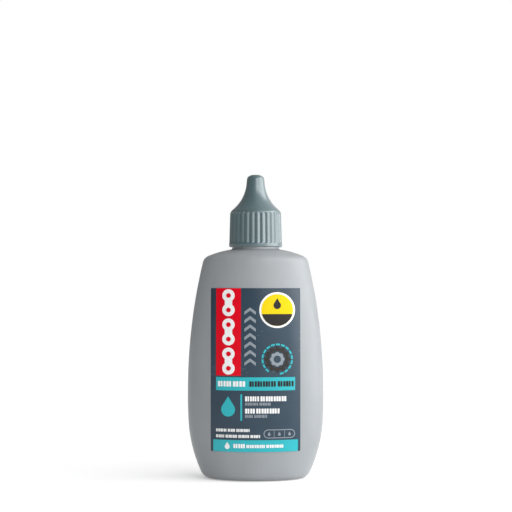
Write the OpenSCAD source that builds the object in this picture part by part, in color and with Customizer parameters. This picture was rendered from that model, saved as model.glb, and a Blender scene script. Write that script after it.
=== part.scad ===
// Flat oval squeeze bottle for chain lubricant, with a dropper insert under a ribbed screw cap.
// Millimetres. The bottle stands on z = 0, its width runs along X and its label faces -Y.

/* [Bottle] */
// Width of the body at its widest
body_w = 55.8; // [50:0.1:62]
// Depth of the body from front to back
body_d = 34; // [28:0.5:40]
// Height of the widest place
belly_z = 35.3; // [30:0.1:40]
// Radius of the long curve of each side
side_r = 230; // [180:1:320]
// Height at which the side begins to turn in towards the base
lower_z = 23.7; // [18:0.1:27]
// Radius of the turn towards the base
lower_r = 57.2; // [50:0.1:70]
// Radius of the heel round the base
heel_r = 4.3; // [3:0.1:6]
// Height at which the side ends and the shoulder begins
shoulder_z = 88.5; // [80:0.1:96]
// Radius of the shoulder's corner
corner_r = 3.8; // [2.5:0.1:6]
// Steepness, in degrees, at which the corner passes into the dome
corner_turn = 67; // [55:1:72]
// Radius of the dome that leads to the neck
dome_r = 38.3; // [30:0.1:60]
// Thickness of the blown wall
wall = 1; // [0.6:0.1:1.6]
// Width of the flat ring that the bottle stands on
stand_w = 2.6; // [1.5:0.1:4]
// Height of the hollow under the base
push_up = 1.6; // [0.8:0.1:2.4]

/* [Neck] */
// Radius of the plain collar above the shoulder
collar_r = 9.55; // [9.3:0.05:9.8]
// Height of the collar
collar_h = 2.3; // [1.5:0.1:3.5]
// Height of the neck from the shoulder to its rim
neck_h = 13.2; // [11:0.1:16]
// Radius of the neck between its threads
finish_r = 7.9; // [7.5:0.05:8.2]
// Height of the thread on the neck
thread_h = 0.9; // [0.6:0.05:1.1]
// Radius of the mouth
mouth_r = 6.2; // [5.6:0.05:6.6]

/* [Dropper insert] */
// Depth of the plug in the mouth
plug_h = 6.5; // [4:0.1:9]
// Clearance of the plug in the mouth
plug_gap = 0.04; // [0.02:0.01:0.1]
// Thickness of the flange on the rim
flange_t = 1; // [0.7:0.05:1.5]
// How far the flange stays back from the neck's edge
flange_inset = 0.3; // [0.1:0.05:0.6]
// Height of the spout above the flange
spout_h = 13; // [11:0.1:15]
// Radius of the spout at the flange
spout_base_r = 4.9; // [4.4:0.1:5.4]
// Radius of the spout at its tip
spout_tip_r = 1.9; // [1.6:0.05:2.1]
// Thickness of the insert's wall
insert_wall = 1.2; // [0.8:0.1:1.5]
// Radius of the hole that lets the drops out
jet_r = 0.6; // [0.4:0.05:0.8]
// Length of that hole
jet_h = 3; // [2:0.1:4]

/* [Cap] */
// Gap between the shoulder and the cap's rim
rim_gap = 0.95; // [0.6:0.05:1.5]
// Gap between the neck's thread and the bore of the cap
bore_gap = 0.25; // [0.2:0.05:0.4]
// Gap between the collar and the cap's counterbore
collar_gap = 0.3; // [0.25:0.05:0.4]
// Gap between the insert and the inside of the cap
seat_gap = 0.3; // [0.3:0.05:0.5]
// Thickness of the skirt at the bottom of its grooves
skirt_wall = 0.9; // [0.7:0.05:1.1]
// Slope of the skirt in degrees
skirt_draft = 1.6; // [1.2:0.1:2]
// Number of ribs round the skirt
rib_count = 30; // [24:1:34]
// Height of a rib above its groove
rib_h = 0.6; // [0.4:0.05:0.7]
// Radius of a rib's round back
rib_r = 0.85; // [0.7:0.05:0.95]
// Height of the plain band at the rim
band_h = 1.5; // [1:0.1:2.5]
// Radius of the corner between the skirt and the flare
cap_corner_r = 2.7; // [1.5:0.1:3.2]
// Slope, in degrees from upright, at the foot of the flare
flare_foot = 47.6; // [44:0.2:50]
// Slope, in degrees from upright, at the head of the flare
flare_head = 5.7; // [4:0.1:8]
// Radius of the flare's hollow curve
flare_r = 15.3; // [14.5:0.1:16]
// Length of the straight taper between the tip and the flare
taper_h = 2.65; // [2:0.05:3.4]
// Radius of the tip below its chamfer
tip_r = 3.5; // [3.35:0.05:3.8]
// Radius of the flat on the tip
tip_flat_r = 1.45; // [1:0.05:2.2]
// Height of the tip's chamfer
tip_chamfer = 1.2; // [0.8:0.1:1.6]
// Thickness of the cap over the spout
tip_wall = 3.2; // [2.4:0.1:4]
// Length of the sealing pin inside the jet
pin_h = 1.6; // [1:0.1:1.8]
// Gap between the pin and the jet
pin_gap = 0.15; // [0.1:0.01:0.2]

/* [Filling] */
// Level of the lubricant
fill_z = 84.5; // [60:0.5:86]
// Gap between the lubricant and the wall, so that their coarse skins stay apart
fill_gap = 0.2; // [0.2:0.05:0.5]

/* [Label] */
// Width of the label, measured straight across
label_w = 36.1; // [32:0.1:38]
// Height of the label
label_h = 65.7; // [60:0.1:70]
// Height of the label's lower edge
label_z = 12.3; // [9:0.1:16]
// Thickness of the label's film
film_t = 0.1; // [0.06:0.01:0.2]
// Thickness of a layer of ink
ink_t = 0.04; // [0.02:0.01:0.08]
// Thickness of the glue under the film and of the gap under each ink
glue_t = 0.04; // [0.04:0.01:0.08]

/* [Print] */
// Margin between the label's left edge and the red band
band_margin = 2.15; // [1:0.05:4]
// Width of the red band
red_w = 10; // [8:0.1:12]
// Height of the lower teal bar
foot_bar_h = 4.8; // [3:0.1:7]
// Height of the upper teal bar
name_bar_h = 5.3; // [4:0.1:7]
// Height of the upper teal bar above the lower edge of the label
name_bar_rise = 24.7; // [23:0.1:26]
// Space between neighbouring fields
print_gap = 0.6; // [0.3:0.05:1]
// Number of chain links up the red band
link_count = 3; // [1:1:3]
// Half the distance between the rivets of a link
link_reach = 2.9; // [2:0.1:3.2]
// Radius of a link's round end
link_end_r = 2.5; // [1.6:0.1:2.6]
// Half width of a link's waist
link_waist = 1.5; // [0.8:0.1:1.6]
// Radius of a rivet
rivet_r = 0.95; // [0.5:0.05:1.2]
// Number of grey chevrons beside the red band
chevron_count = 7; // [3:1:8]
// Width of a chevron
chevron_w = 4.6; // [3:0.1:5]
// Thickness of a chevron
chevron_t = 1.3; // [0.8:0.1:1.6]
// Height that a chevron rises to its point
chevron_rise = 1.7; // [1:0.1:2]
// Radius of the round badge
badge_r = 7.2; // [6:0.1:7.3]
// Width of the badge's white rim
badge_rim = 0.8; // [0.4:0.1:1.2]
// Radius of the pictured sprocket at its teeth
sprocket_r = 5.3; // [4.5:0.1:5.4]
// Number of teeth on the pictured sprocket
sprocket_teeth = 12; // [10:1:16]
// Height of a large line of text, shown as a bar
text_h = 2; // [1.4:0.1:2.4]
// Height of a small line of text, shown as a bar
note_h = 1.2; // [0.8:0.1:1.6]
// Width of the pill-shaped frame
pill_w = 12.7; // [8:0.1:14]
// Height of the pill-shaped frame
pill_h = 3.6; // [2.6:0.1:4.2]

/* [Hidden] */
$fn = 96;

// Points on a loft's ring
ring_n = 56;
// Steps taken along each arc of the outline
heel_n = 5;
lower_n = 4;
side_n = 9;
corner_n = 5;
dome_n = 5;
// Share of those steps that the inside of the wall and the lubricant take
inside = 0.4;
// Depth that solids sink into each other where they are one piece
bite = 0.5;

// A point at an angle on a circle in the outline's plane
function on_arc(centre, r, angle) = centre + r * [cos(angle), sin(angle)];
// Angles after the first one, up to and with the last
function steps(from, to, n) = [for (i = [1:n]) from + (to - from) * i / n];

// The outline is five arcs that meet without a kink, each named by its centre.
// An angle is that of the outward normal: -90 looks down, 0 to the side and 90 up.
side_c = [body_w / 2 - side_r, belly_z];
side_low = asin((belly_z - lower_z) / side_r);
lower_c = on_arc(side_c, side_r - lower_r, -side_low);
heel_turn = asin((lower_c[1] - heel_r) / (lower_r - heel_r));
heel_c = on_arc(lower_c, lower_r - heel_r, -heel_turn);
side_high = asin((shoulder_z - belly_z) / side_r);
corner_c = on_arc(side_c, side_r - corner_r, side_high);
dome_c = on_arc(corner_c, corner_r - dome_r, corner_turn);
dome_end = acos((collar_r - bite - dome_c[0]) / dome_r);
dome_foot = acos((collar_r - dome_c[0]) / dome_r);

// Stations up the outline, each an angle and a point of half width and height.
// The share is 1 for the full number of steps along each arc, or less for a coarser skin.
function arc_stations(centre, r, from, to, n, share) = [
    for (t = steps(from, to, ceil(n * share))) [t, on_arc(centre, r, t)]
];
base_station = [-90, on_arc(heel_c, heel_r, -90)];
function side_stations(share, top) = concat(
    [base_station],
    arc_stations(heel_c, heel_r, -90, -heel_turn, heel_n, share),
    arc_stations(lower_c, lower_r, -heel_turn, -side_low, lower_n, share),
    arc_stations(side_c, side_r, -side_low, top, side_n, share)
);
function wall_stations(share) = concat(
    side_stations(share, side_high),
    arc_stations(corner_c, corner_r, side_high, corner_turn, corner_n, share),
    arc_stations(dome_c, dome_r, corner_turn, dome_end, dome_n, share)
);

// The depth follows the width, and is equal to it at the round collar.
depth_share = (body_d / 2 - collar_r) / (body_w / 2 - collar_r);
heel_top = heel_r * (1 - sin(heel_turn));
heel_in = heel_r * (1 - depth_share);
function heel_drop(z) = z >= heel_top ? 0 : heel_in * (1 - sqrt(max(0, 1 - pow(1 - z / heel_top, 2))));
function half_depth(p) = collar_r + depth_share * (p[0] - collar_r) - heel_drop(p[1]);

// A ring of the body: half width, half depth, height
function outer_ring(s) = [s[1][0], half_depth(s[1]), s[1][1]];
function inner_ring(s, gap) = [
    s[1][0] - gap * cos(s[0]), half_depth(s[1]) - gap * cos(s[0]), s[1][1] - gap * sin(s[0])
];

// The hollow under the base, from its middle out to the ring that stands
base_ring = outer_ring(base_station);
function hollow_ring(share, lift, gap) = [
    share * (base_ring[0] - stand_w), share * (base_ring[1] - stand_w), lift + gap
];
function hollow_rings(gap) = [
    hollow_ring(0.3, push_up, gap), hollow_ring(0.75, push_up * 0.8, gap), hollow_ring(1, 0, gap)
];

// The neck's heights follow from the shoulder.
neck_z = on_arc(dome_c, dome_r, dome_foot)[1];
rim_z = neck_z + neck_h;
flange_z = rim_z + flange_t;
spout_z = flange_z + spout_h;
mouth_foot_z = neck_z - wall - bite;

// The cap's sizes follow from the neck and the spout.
cap_z = neck_z + rim_gap;
cap_top_z = spout_z + seat_gap + tip_wall;
cap_bore_r = finish_r + thread_h + bore_gap;
skirt_r = cap_bore_r + skirt_wall + rib_h;
taper_top = [tip_r, cap_top_z - tip_chamfer];
taper_foot = taper_top + taper_h * [tan(flare_head), -1];
flare_c = on_arc(taper_foot, flare_r, flare_head);
flare_end = on_arc(flare_c, flare_r, 180 + flare_foot);
flare_line = flare_end * [cos(flare_foot), sin(flare_foot)];
cap_corner_x = skirt_r - cap_corner_r;
cap_corner_c = [
    cap_corner_x,
    (flare_line - cap_corner_r - cap_corner_x * cos(flare_foot)) / sin(flare_foot)
];
skirt_top = on_arc(cap_corner_c, cap_corner_r, skirt_draft);
function skirt_at(z) = skirt_top[0] + (skirt_top[1] - z) * tan(skirt_draft);
rib_foot_z = cap_z + band_h;
rib_head_z = skirt_top[1] + 0.35 * cap_corner_r;
// Depth of the ribs' backs under the plain band
rib_sink = 0.05;

// Places on the front follow from the label's edges. Ink lies on the film, and a later ink on it.
label_left = -label_w / 2;
label_top = label_z + label_h;
film_lift = glue_t;
ink_lift = film_lift + film_t + glue_t;
ink_step = ink_t + glue_t;
field_left = label_left + band_margin;
field_right = -field_left;
band_right = field_left + red_w;
name_bar_z = label_z + name_bar_rise;
picture_z = name_bar_z + name_bar_h + print_gap;
foot_bar_z = label_z + foot_bar_h;
link_pitch = (label_top - picture_z) / link_count;
link_heights = [for (i = [0:link_count - 1]) picture_z + (i + 0.5) * link_pitch];
chevron_x = band_right + chevron_w / 2 + 1.4;
chevron_pitch = chevron_t + chevron_rise + 0.4;
picture_x = field_right - badge_r;
badge = [picture_x, label_top - badge_r - 1.6];
sprocket = [picture_x, picture_z + sprocket_r + 1.3];
text_left = band_right + 1.7;
text_top = name_bar_z - 2.3;
text_pitch = 2.45 * text_h;
note_top = foot_bar_z + 4.5;
note_pitch = 2 * note_h;
pill = [field_right - pill_w / 2, foot_bar_z + pill_h / 2 + 0.7];
foot_mid = label_z + foot_bar_h / 2;

// Half width of the body at a height between its heel and its shoulder
function half_width(z) =
    z < lower_z
    ? lower_c[0] + sqrt(pow(lower_r, 2) - pow(z - lower_c[1], 2))
    : side_c[0] + sqrt(pow(side_r, 2) - pow(z - side_c[1], 2));
// The point of the front at a place seen from the front, lifted off the wall
function on_front(x, z, lift) =
    let (a = half_width(z), b = half_depth([a, z]))
    [x, -(b + lift) * sqrt(1 - pow(x / (a + lift), 2)), z];

// Rows of places for a four-sided field, with its columns and rows
function field(x0, x1, z0, z1, columns = 1, rows = 1) = [
    for (i = [0:rows]) [for (j = [0:columns]) [x0 + (x1 - x0) * j / columns, z0 + (z1 - z0) * i / rows]]
];
// Rows of places for a field bounded by an outline that is given as radius against angle
function blob(x, z, n, outline) = [
    for (i = [-n:2:n]) [
        for (j = [-n:2:n])
            let (u = j / n, v = i / n, s = u * sqrt(1 - v * v / 2), t = v * sqrt(1 - u * u / 2))
            [x, z] + outline(atan2(t, s)) * [s, t]
    ]
];
// Rows of places for a closed ring between two outlines
function ring(x, z, inside, outside, n) = [
    for (outline = [inside, outside]) [
        for (j = [0:n - 1])
            let (a = -360 * (j + 0.5) / n)
            [x, z] + outline(a) * [cos(a), sin(a)]
    ]
];
// Rows of places for a piece of a ring between two angles
function sector(x, z, r0, r1, a0, a1, n) = [
    for (r = [r0, r1]) [for (j = [0:n]) let (a = a1 + (a0 - a1) * j / n) [x, z] + r * [cos(a), sin(a)]]
];
// Rows of places for the part of a disc that lies below a level
function segment(x, z, r, level, n) =
    let (w = 0.97 * sqrt(r * r - level * level))
    [for (i = [0:1]) [for (j = [-n:2:n]) let (u = w * j / n) [x + u, z + (i == 0 ? -sqrt(r * r - u * u) : level)]]];
// Rows of places for a chevron that points up
function chevron(x, z, w, rise, t) = [
    for (i = [0:1]) [for (u = [-1, 0, 1]) [x + u * w / 2, z + (1 - abs(u)) * rise + i * t]]
];
// Outlines, as functions of an angle: a circle, a drop, two round ends with a waist, and a toothed wheel
function circle_outline(r) = function (a) r;
function drop_outline(r, tall) =
    let (t = asin(1 / tall))
    function (a) a < t || a > 180 - t ? r : r / cos(90 - abs(a - 90) - t);
function link_outline(end_r, reach, waist, turn = 0) =
    function (a)
        let (c = abs(cos(a + turn)), s = abs(sin(a + turn)), k = pow(end_r, 2) - pow(reach * c, 2))
        max(k > 0 ? reach * s + sqrt(k) : 0, min(waist / max(c, 0.01), reach / max(s, 0.01)));
function wheel_outline(tip, root, teeth) = function (a) cos(teeth * a) > 0 ? tip : root;

// A solid through a stack of oval rings, closed flat at both ends
module loft(rings) {
    count = len(rings);
    points = [
        for (r = rings, i = [0:ring_n - 1])
            let (a = 360 * i / ring_n)
            [r[0] * cos(a), r[1] * sin(a), r[2]]
    ];
    sides = [
        for (k = [0:count - 2], i = [0:ring_n - 1])
            let (a = k * ring_n + i, b = k * ring_n + (i + 1) % ring_n)
            each [[a, a + ring_n, b], [b, a + ring_n, b + ring_n]]
    ];
    first = [for (i = [0:ring_n - 1]) i];
    last = [for (i = [ring_n - 1:-1:0]) (count - 1) * ring_n + i];
    polyhedron(points, concat([first, last], sides), convexity = 6);
}

// A thin layer laid on the front over rows of places; a closed one joins its last column to its first.
// The faces are split towards the middle of the grid, so that none folds at a corner.
module layer(rows, lift, thick, closed = false) {
    m = len(rows);
    n = len(rows[0]);
    points = [for (h = [lift, lift + thick], row = rows, p = row) on_front(p[0], p[1], h)];
    top = m * n;
    spans = closed ? n - 1 : n - 2;
    faces = [
        for (i = [0:m - 2], j = [0:spans])
            let (k = (j + 1) % n, a = i * n + j, b = a + n, c = (i + 1) * n + k, d = i * n + k)
            let (turned = (2 * i < m - 1) != (2 * j < n - 1))
            each turned
                ? [[a, d, b], [b, d, c], [top + a, top + b, top + d], [top + b, top + c, top + d]]
                : [[a, c, b], [a, d, c], [top + a, top + b, top + c], [top + a, top + c, top + d]]
    ];
    rims = [
        for (j = [0:spans])
            let (k = (j + 1) % n, e = (m - 1) * n)
            each [
                [top + j, top + k, k], [top + j, k, j],
                [top + e + k, top + e + j, e + j], [top + e + k, e + j, e + k]
            ]
    ];
    ends = closed ? [] : [
        for (i = [0:m - 2])
            let (a = i * n, b = a + n, c = a + n - 1, d = c + n)
            each [
                [top + b, top + a, a], [top + b, a, b],
                [top + c, top + d, d], [top + c, d, c]
            ]
    ];
    polyhedron(points, concat(faces, rims, ends), convexity = 4);
}

// Ink of the first, second or third printing
module ink(rows, printing = 1, closed = false) {
    layer(rows, ink_lift + (printing - 1) * ink_step, ink_t, closed);
}

// Blown body and neck in one piece
module bottle() {
    inner = [for (s = wall_stations(inside)) inner_ring(s, wall)];
    floor_rings = hollow_rings(wall);
    color([0.62, 0.64, 0.66]) union() {
        loft(concat(
            hollow_rings(0),
            [for (s = wall_stations(1)) outer_ring(s)],
            [for (i = [len(inner) - 1:-1:0]) inner[i]],
            [for (i = [len(floor_rings) - 1:-1:0]) floor_rings[i]]
        ));
        rotate_extrude() polygon([
            [mouth_r, mouth_foot_z],
            [collar_r, mouth_foot_z],
            [collar_r, neck_z + collar_h - 0.4],
            [collar_r - 0.4, neck_z + collar_h],
            [finish_r, neck_z + collar_h],
            [finish_r, rim_z],
            [mouth_r, rim_z]
        ]);
    }
}

// Dropper insert, pressed into the mouth
module nozzle() {
    plug_r = mouth_r - plug_gap;
    color([0.88, 0.9, 0.88]) rotate_extrude() polygon([
        [plug_r - insert_wall, rim_z - plug_h],
        [plug_r - 0.3, rim_z - plug_h],
        [plug_r, rim_z - plug_h + 1],
        [plug_r, rim_z],
        [finish_r - flange_inset, rim_z],
        [finish_r - flange_inset, flange_z],
        [spout_base_r, flange_z],
        [spout_tip_r, spout_z],
        [jet_r, spout_z],
        [jet_r, spout_z - jet_h],
        [spout_base_r - insert_wall, flange_z],
        [plug_r - insert_wall, rim_z - insert_wall]
    ]);
}

// Ribbed screw cap with a hollow for the spout and a pin for the jet
module cap() {
    counterbore_r = collar_r + collar_gap;
    counterbore_z = neck_z + collar_h + collar_gap;
    cone_z = flange_z + seat_gap;
    roof_z = spout_z + seat_gap;
    pin_r = jet_r - pin_gap;
    flare_points = [for (t = steps(flare_foot, flare_head, 14)) on_arc(flare_c, flare_r, 180 + t)];
    corner_points = [for (t = steps(skirt_draft, flare_foot, 6)) on_arc(cap_corner_c, cap_corner_r, t)];
    color([0.4, 0.5, 0.51]) difference() {
        rotate_extrude() polygon(concat(
            [
                [0, spout_z - pin_h],
                [pin_r, spout_z - pin_h],
                [pin_r, roof_z],
                [spout_tip_r + seat_gap, roof_z],
                [spout_base_r + seat_gap, cone_z],
                [cap_bore_r, cone_z],
                [cap_bore_r, counterbore_z],
                [counterbore_r, counterbore_z],
                [counterbore_r, cap_z],
                [skirt_at(cap_z), cap_z],
                skirt_top
            ],
            corner_points,
            [flare_end],
            flare_points,
            [taper_top, [tip_flat_r, cap_top_z], [0, cap_top_z]]
        ));
        difference() {
            rotate_extrude() polygon([
                [skirt_at(rib_foot_z) - rib_h, rib_foot_z],
                [skirt_at(rib_foot_z) + bite, rib_foot_z],
                [skirt_at(rib_head_z) + bite, rib_head_z],
                [skirt_at(rib_head_z) - rib_h, rib_head_z]
            ]);
            for (i = [0:rib_count - 1])
                rotate([0, 0, 360 * i / rib_count])
                    translate([skirt_at(rib_foot_z) - rib_sink - rib_r, 0, rib_foot_z])
                        rotate([0, -skirt_draft, 0])
                            translate([0, 0, -bite])
                                cylinder(r = rib_r, h = rib_head_z - rib_foot_z + 2 * bite, $fn = 24);
        }
    }
}

// Lubricant up to its level, inside the wall and over the raised base
module lubricant() {
    level = asin((fill_z - belly_z) / side_r);
    gap = wall + fill_gap;
    color([0.8, 0.62, 0.25]) loft(concat(
        hollow_rings(gap),
        [for (s = side_stations(inside, level)) inner_ring(s, gap)]
    ));
}

// Film of the front label
module front_label() {
    color([0.24, 0.31, 0.37])
        layer(field(label_left, -label_left, label_z, label_top, 16, 14), film_lift, film_t);
}

// Red ink: a band, and the rivets of the links that are printed over it
module print_red() {
    color([0.86, 0.05, 0.13]) {
        ink(field(field_left, band_right, picture_z, label_top, 4, 8));
        for (z = link_heights, side = [-1, 1])
            ink(blob((field_left + band_right) / 2, z + side * link_reach, 3, circle_outline(rivet_r)), 3);
    }
}

// White ink: chain links up the red band, the badge's rim, lines of text as bars and a small drop
module print_white() {
    color([0.96, 0.97, 0.97]) {
        for (z = link_heights)
            ink(blob((field_left + band_right) / 2, z, 6, link_outline(link_end_r, link_reach, link_waist)), 2);
        ink(blob(badge[0], badge[1], 6, circle_outline(badge_r)));
        for (i = [0:1])
            let (z = text_top - i * text_pitch)
            ink(field(text_left, text_left + 16.5 - 2.7 * i, z - text_h, z, 6));
        for (i = [0:1])
            let (z = note_top - i * note_pitch)
            ink(field(field_left, field_left + 13.5 + 4.2 * i, z - note_h, z, 6));
        ink(blob(field_left + 4.5, foot_mid - 0.3, 4, drop_outline(1, 1.9)), 2);
        ink(field(field_left + 7, field_left + 27, foot_mid - 0.8, foot_mid + 0.8, 8), 2);
    }
}

// Teal ink: two bars, a divider, a large drop and the chain round the sprocket
module print_teal() {
    text_foot = text_top - 2 * text_pitch;
    color([0.24, 0.73, 0.76]) {
        ink(field(field_left, field_right, name_bar_z, name_bar_z + name_bar_h, 14));
        ink(field(label_left + 1, -label_left - 1, label_z, foot_bar_z, 15));
        ink(field(text_left - 1.9, text_left - 1.2, text_foot, text_top + 0.8, 1, 3));
        ink(blob((field_left + text_left) / 2 - 1, (text_top + text_foot) / 2 - 0.5, 6, drop_outline(2.8, 1.9)));
        for (a = [-80:20:220])
            ink(sector(sprocket[0], sprocket[1], sprocket_r + 0.3, sprocket_r + 1, a, a + 15, 2));
    }
}

// Grey ink: chevrons, small lines of text as bars, the wheel inside the sprocket and the pill's frame
module print_grey() {
    color([0.62, 0.66, 0.69]) {
        for (i = [0:chevron_count - 1])
            ink(chevron(chevron_x, picture_z + 4 + i * chevron_pitch, chevron_w, chevron_rise, chevron_t));
        for (i = [0:1])
            let (z = text_top - text_h - 0.5 - i * text_pitch)
            ink(field(text_left, text_left + 10.2 - 1.4 * i, z - note_h, z, 4));
        ink(ring(
            sprocket[0], sprocket[1], circle_outline(0.28 * sprocket_r),
            wheel_outline(0.56 * sprocket_r, 0.48 * sprocket_r, 8), 32
        ), 1, true);
        ink(ring(
            pill[0], pill[1],
            link_outline(pill_h / 2 - 0.35, (pill_w - pill_h) / 2, pill_h / 2 - 0.35, 90),
            link_outline(pill_h / 2, (pill_w - pill_h) / 2, pill_h / 2, 90), 28
        ), 1, true);
    }
}

// Yellow ink: the badge's face
module print_yellow() {
    color([1, 0.89, 0.05])
        ink(blob(badge[0], badge[1], 6, circle_outline(badge_r - badge_rim)), 2);
}

// Charcoal ink: the lower part of the badge, a drop on its face and the pictured sprocket
module print_charcoal() {
    color([0.2, 0.2, 0.19]) {
        ink(segment(badge[0], badge[1], badge_r - badge_rim - 0.05, -1.6, 8), 3);
        ink(blob(badge[0], badge[1] + 1.9, 4, drop_outline(1.5, 1.9)), 3);
        ink(ring(
            sprocket[0], sprocket[1], circle_outline(0.62 * sprocket_r),
            wheel_outline(sprocket_r, 0.86 * sprocket_r, sprocket_teeth), 4 * sprocket_teeth
        ), 1, true);
    }
}

bottle();
nozzle();
cap();
lubricant();
front_label();
print_red();
print_white();
print_teal();
print_grey();
print_yellow();
print_charcoal();
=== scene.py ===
# %% [markdown]
# # A squeeze bottle of chain lubricant
# The object is a flat oval bottle of satin plastic, 125 mm tall, with a ribbed screw cap that ends in a
# tapered tip, a dropper insert under the cap and one printed film label on its front.
#
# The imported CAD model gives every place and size. This lesson builds the surface of each piece over it:
# soft edges, the mould's seam, the screw thread, crisp print, and the finish of each plastic. Blender works
# in metres, but a maker thinks of a bottle in millimetres, so shapes are made in millimetres and scaled once.

# %% Load the frame
from math import acos, asin, atan2, cos, degrees, pi, radians, sin, sqrt, tan

import bmesh
import bpy
from mathutils import Matrix, Vector


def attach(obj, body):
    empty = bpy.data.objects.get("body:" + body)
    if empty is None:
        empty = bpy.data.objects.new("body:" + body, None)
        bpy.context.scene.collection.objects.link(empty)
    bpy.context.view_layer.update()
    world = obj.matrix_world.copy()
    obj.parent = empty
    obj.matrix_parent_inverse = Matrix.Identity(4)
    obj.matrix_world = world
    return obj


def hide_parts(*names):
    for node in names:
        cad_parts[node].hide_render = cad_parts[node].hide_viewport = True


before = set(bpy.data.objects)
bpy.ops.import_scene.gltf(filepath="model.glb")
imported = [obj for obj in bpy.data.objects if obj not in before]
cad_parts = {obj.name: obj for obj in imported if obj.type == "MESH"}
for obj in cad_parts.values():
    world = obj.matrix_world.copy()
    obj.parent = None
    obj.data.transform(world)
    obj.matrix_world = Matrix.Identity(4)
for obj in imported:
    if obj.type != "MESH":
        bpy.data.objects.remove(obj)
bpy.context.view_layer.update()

# %% [markdown]
# ## From a bmesh to a piece
# Every piece ends in the same way: its mesh is scaled from millimetres to metres, it gets its finish, it is
# shaded smooth except across real edges, and it is told which CAD body it moves with. A few helpers do this.

# %% Helpers for meshes and objects
MM, MERGE = 0.001, 0.0005


def made_mesh(bm, name, scale=MM):
    """Turns a bmesh into a mesh, from millimetres to metres unless it says otherwise."""
    bmesh.ops.transform(bm, matrix=Matrix.Diagonal((scale, scale, scale, 1)), verts=bm.verts)
    mesh = bpy.data.meshes.new(name)
    bm.to_mesh(mesh)
    bm.free()
    return mesh


def shade(mesh, sharp=40):
    """Smooth shading, except across edges of more than that many degrees."""
    mesh.polygons.foreach_set("use_smooth", [True] * len(mesh.polygons))
    mesh.set_sharp_from_angle(angle=radians(sharp))


def placed(name, data):
    """A new object in the scene."""
    made = bpy.data.objects.new(name, data)
    bpy.context.scene.collection.objects.link(made)
    return made


# %% A helper that finishes a piece
def finish_piece(bm, name, recipe, body, nodes, sharp=40):
    """Turns a bmesh in millimetres into a piece that rides on a body."""
    mesh = made_mesh(bm, name)
    mesh.materials.append(recipe.material)
    shade(mesh, sharp)
    piece = placed(name, mesh)
    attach(piece, body)
    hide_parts(*nodes)
    triangles = sum(len(face.vertices) - 2 for face in mesh.polygons)
    print(f"{name}: {triangles} triangles, {len(mesh.vertices)} points")
    return piece


def close_up(bm):
    """Merges doubles, closes poles and turns all faces outwards."""
    bmesh.ops.remove_doubles(bm, verts=bm.verts, dist=MERGE)
    bmesh.ops.dissolve_degenerate(bm, dist=MERGE, edges=bm.edges)
    bmesh.ops.recalc_face_normals(bm, faces=bm.faces)
    loose = sum(1 for edge in bm.edges if len(edge.link_faces) != 2)
    print("open or doubled edges:", loose)
    return bm


# %% [markdown]
# ## Shader sums as Python
# A procedural finish is arithmetic on noise. Wiring Math nodes by hand hides that arithmetic, so a small
# class wraps a socket and lets sums be written as they are thought. All other nodes come from one method,
# which serves the pieces' materials and later the room.

# %% Values that add their own Math nodes
class Value:
    """The output of a shader node, on which sums can be written."""

    def __init__(self, wiring, socket):
        self.wiring = wiring
        self.socket = socket

    def math(self, operation, *values):
        """A Math node on this value, or on the values that are given."""
        return self.wiring.node("ShaderNodeMath", {"operation": operation}, dict(enumerate(values or (self,))))

    def __add__(self, other):
        return self.math("ADD", self, other)

    __radd__ = __add__

    def __sub__(self, other):
        return self.math("SUBTRACT", self, other)

    def __rsub__(self, other):
        return self.math("SUBTRACT", other, self)

    def __mul__(self, other):
        return self.math("MULTIPLY", self, other)

    __rmul__ = __mul__

    def either(self, other):
        """The stronger of two masks."""
        return self.math("MAXIMUM", self, other)

    def ramp(self, low, high, kind="LINEAR"):
        """0 below low, 1 above high, and a straight line between."""
        sockets = {"Value": self, "From Min": low, "From Max": high}
        return self.wiring.node("ShaderNodeMapRange", {"interpolation_type": kind}, sockets)

    def fade(self, low, high):
        """0 below low, 1 above high, and smooth between."""
        return self.ramp(low, high, "SMOOTHSTEP")


# %% One method for all other nodes
class Wiring:
    """A node tree under construction."""

    def __init__(self, tree):
        self.tree = tree

    def node(self, kind, settings=None, sockets=None, out=0):
        """Any node: first its settings, then the values or links of its sockets."""
        made = self.tree.nodes.new(kind)
        for key, value in (settings or {}).items():
            setattr(made, key, value)
        for key, value in (sockets or {}).items():
            self.feed(made.inputs[key], value)
        return Value(self, made.outputs[out])

    def several(self, kind, outs, sockets=None):
        """The named outputs of one node."""
        outputs = self.node(kind, {}, sockets).socket.node.outputs
        return [Value(self, outputs[out]) for out in outs]

    def feed(self, socket, value):
        if isinstance(value, Value):
            self.tree.links.new(value.socket, socket)
        elif isinstance(value, tuple) and len(value) == 3 and socket.type == "RGBA":
            socket.default_value = (*value, 1)
        else:
            socket.default_value = value


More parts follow.
